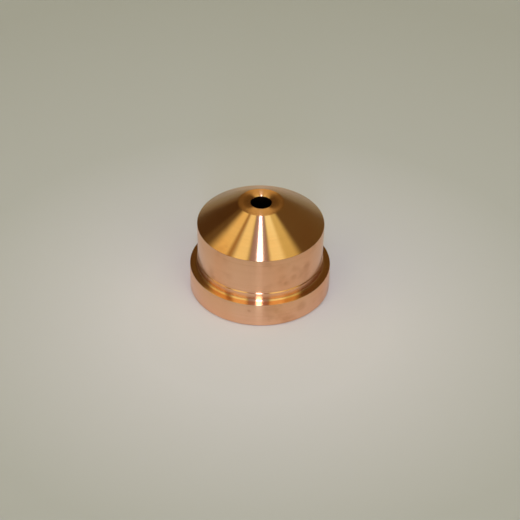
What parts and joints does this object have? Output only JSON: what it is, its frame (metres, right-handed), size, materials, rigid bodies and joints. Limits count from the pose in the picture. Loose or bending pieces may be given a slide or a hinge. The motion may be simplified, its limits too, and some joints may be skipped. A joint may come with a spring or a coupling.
{
  "type": "plasma torch nozzle",
  "caption": "Turned copper nozzle for a plasma cutting torch: flanged open end, straight body and conical nose with a flat tip round the arc orifice.",
  "frame": {"origin": "centre of the open end's face, which the nozzle stands on", "axes": "+Z along the turning axis, from the open end to the tip"},
  "size_m": [0.022, 0.022, 0.0156],
  "materials": {
    "copper": "bright turned copper with fine concentric tool marks"
  },
  "bodies": {
    "root": {"nozzle": "copper"}
  },
  "joints": []
}
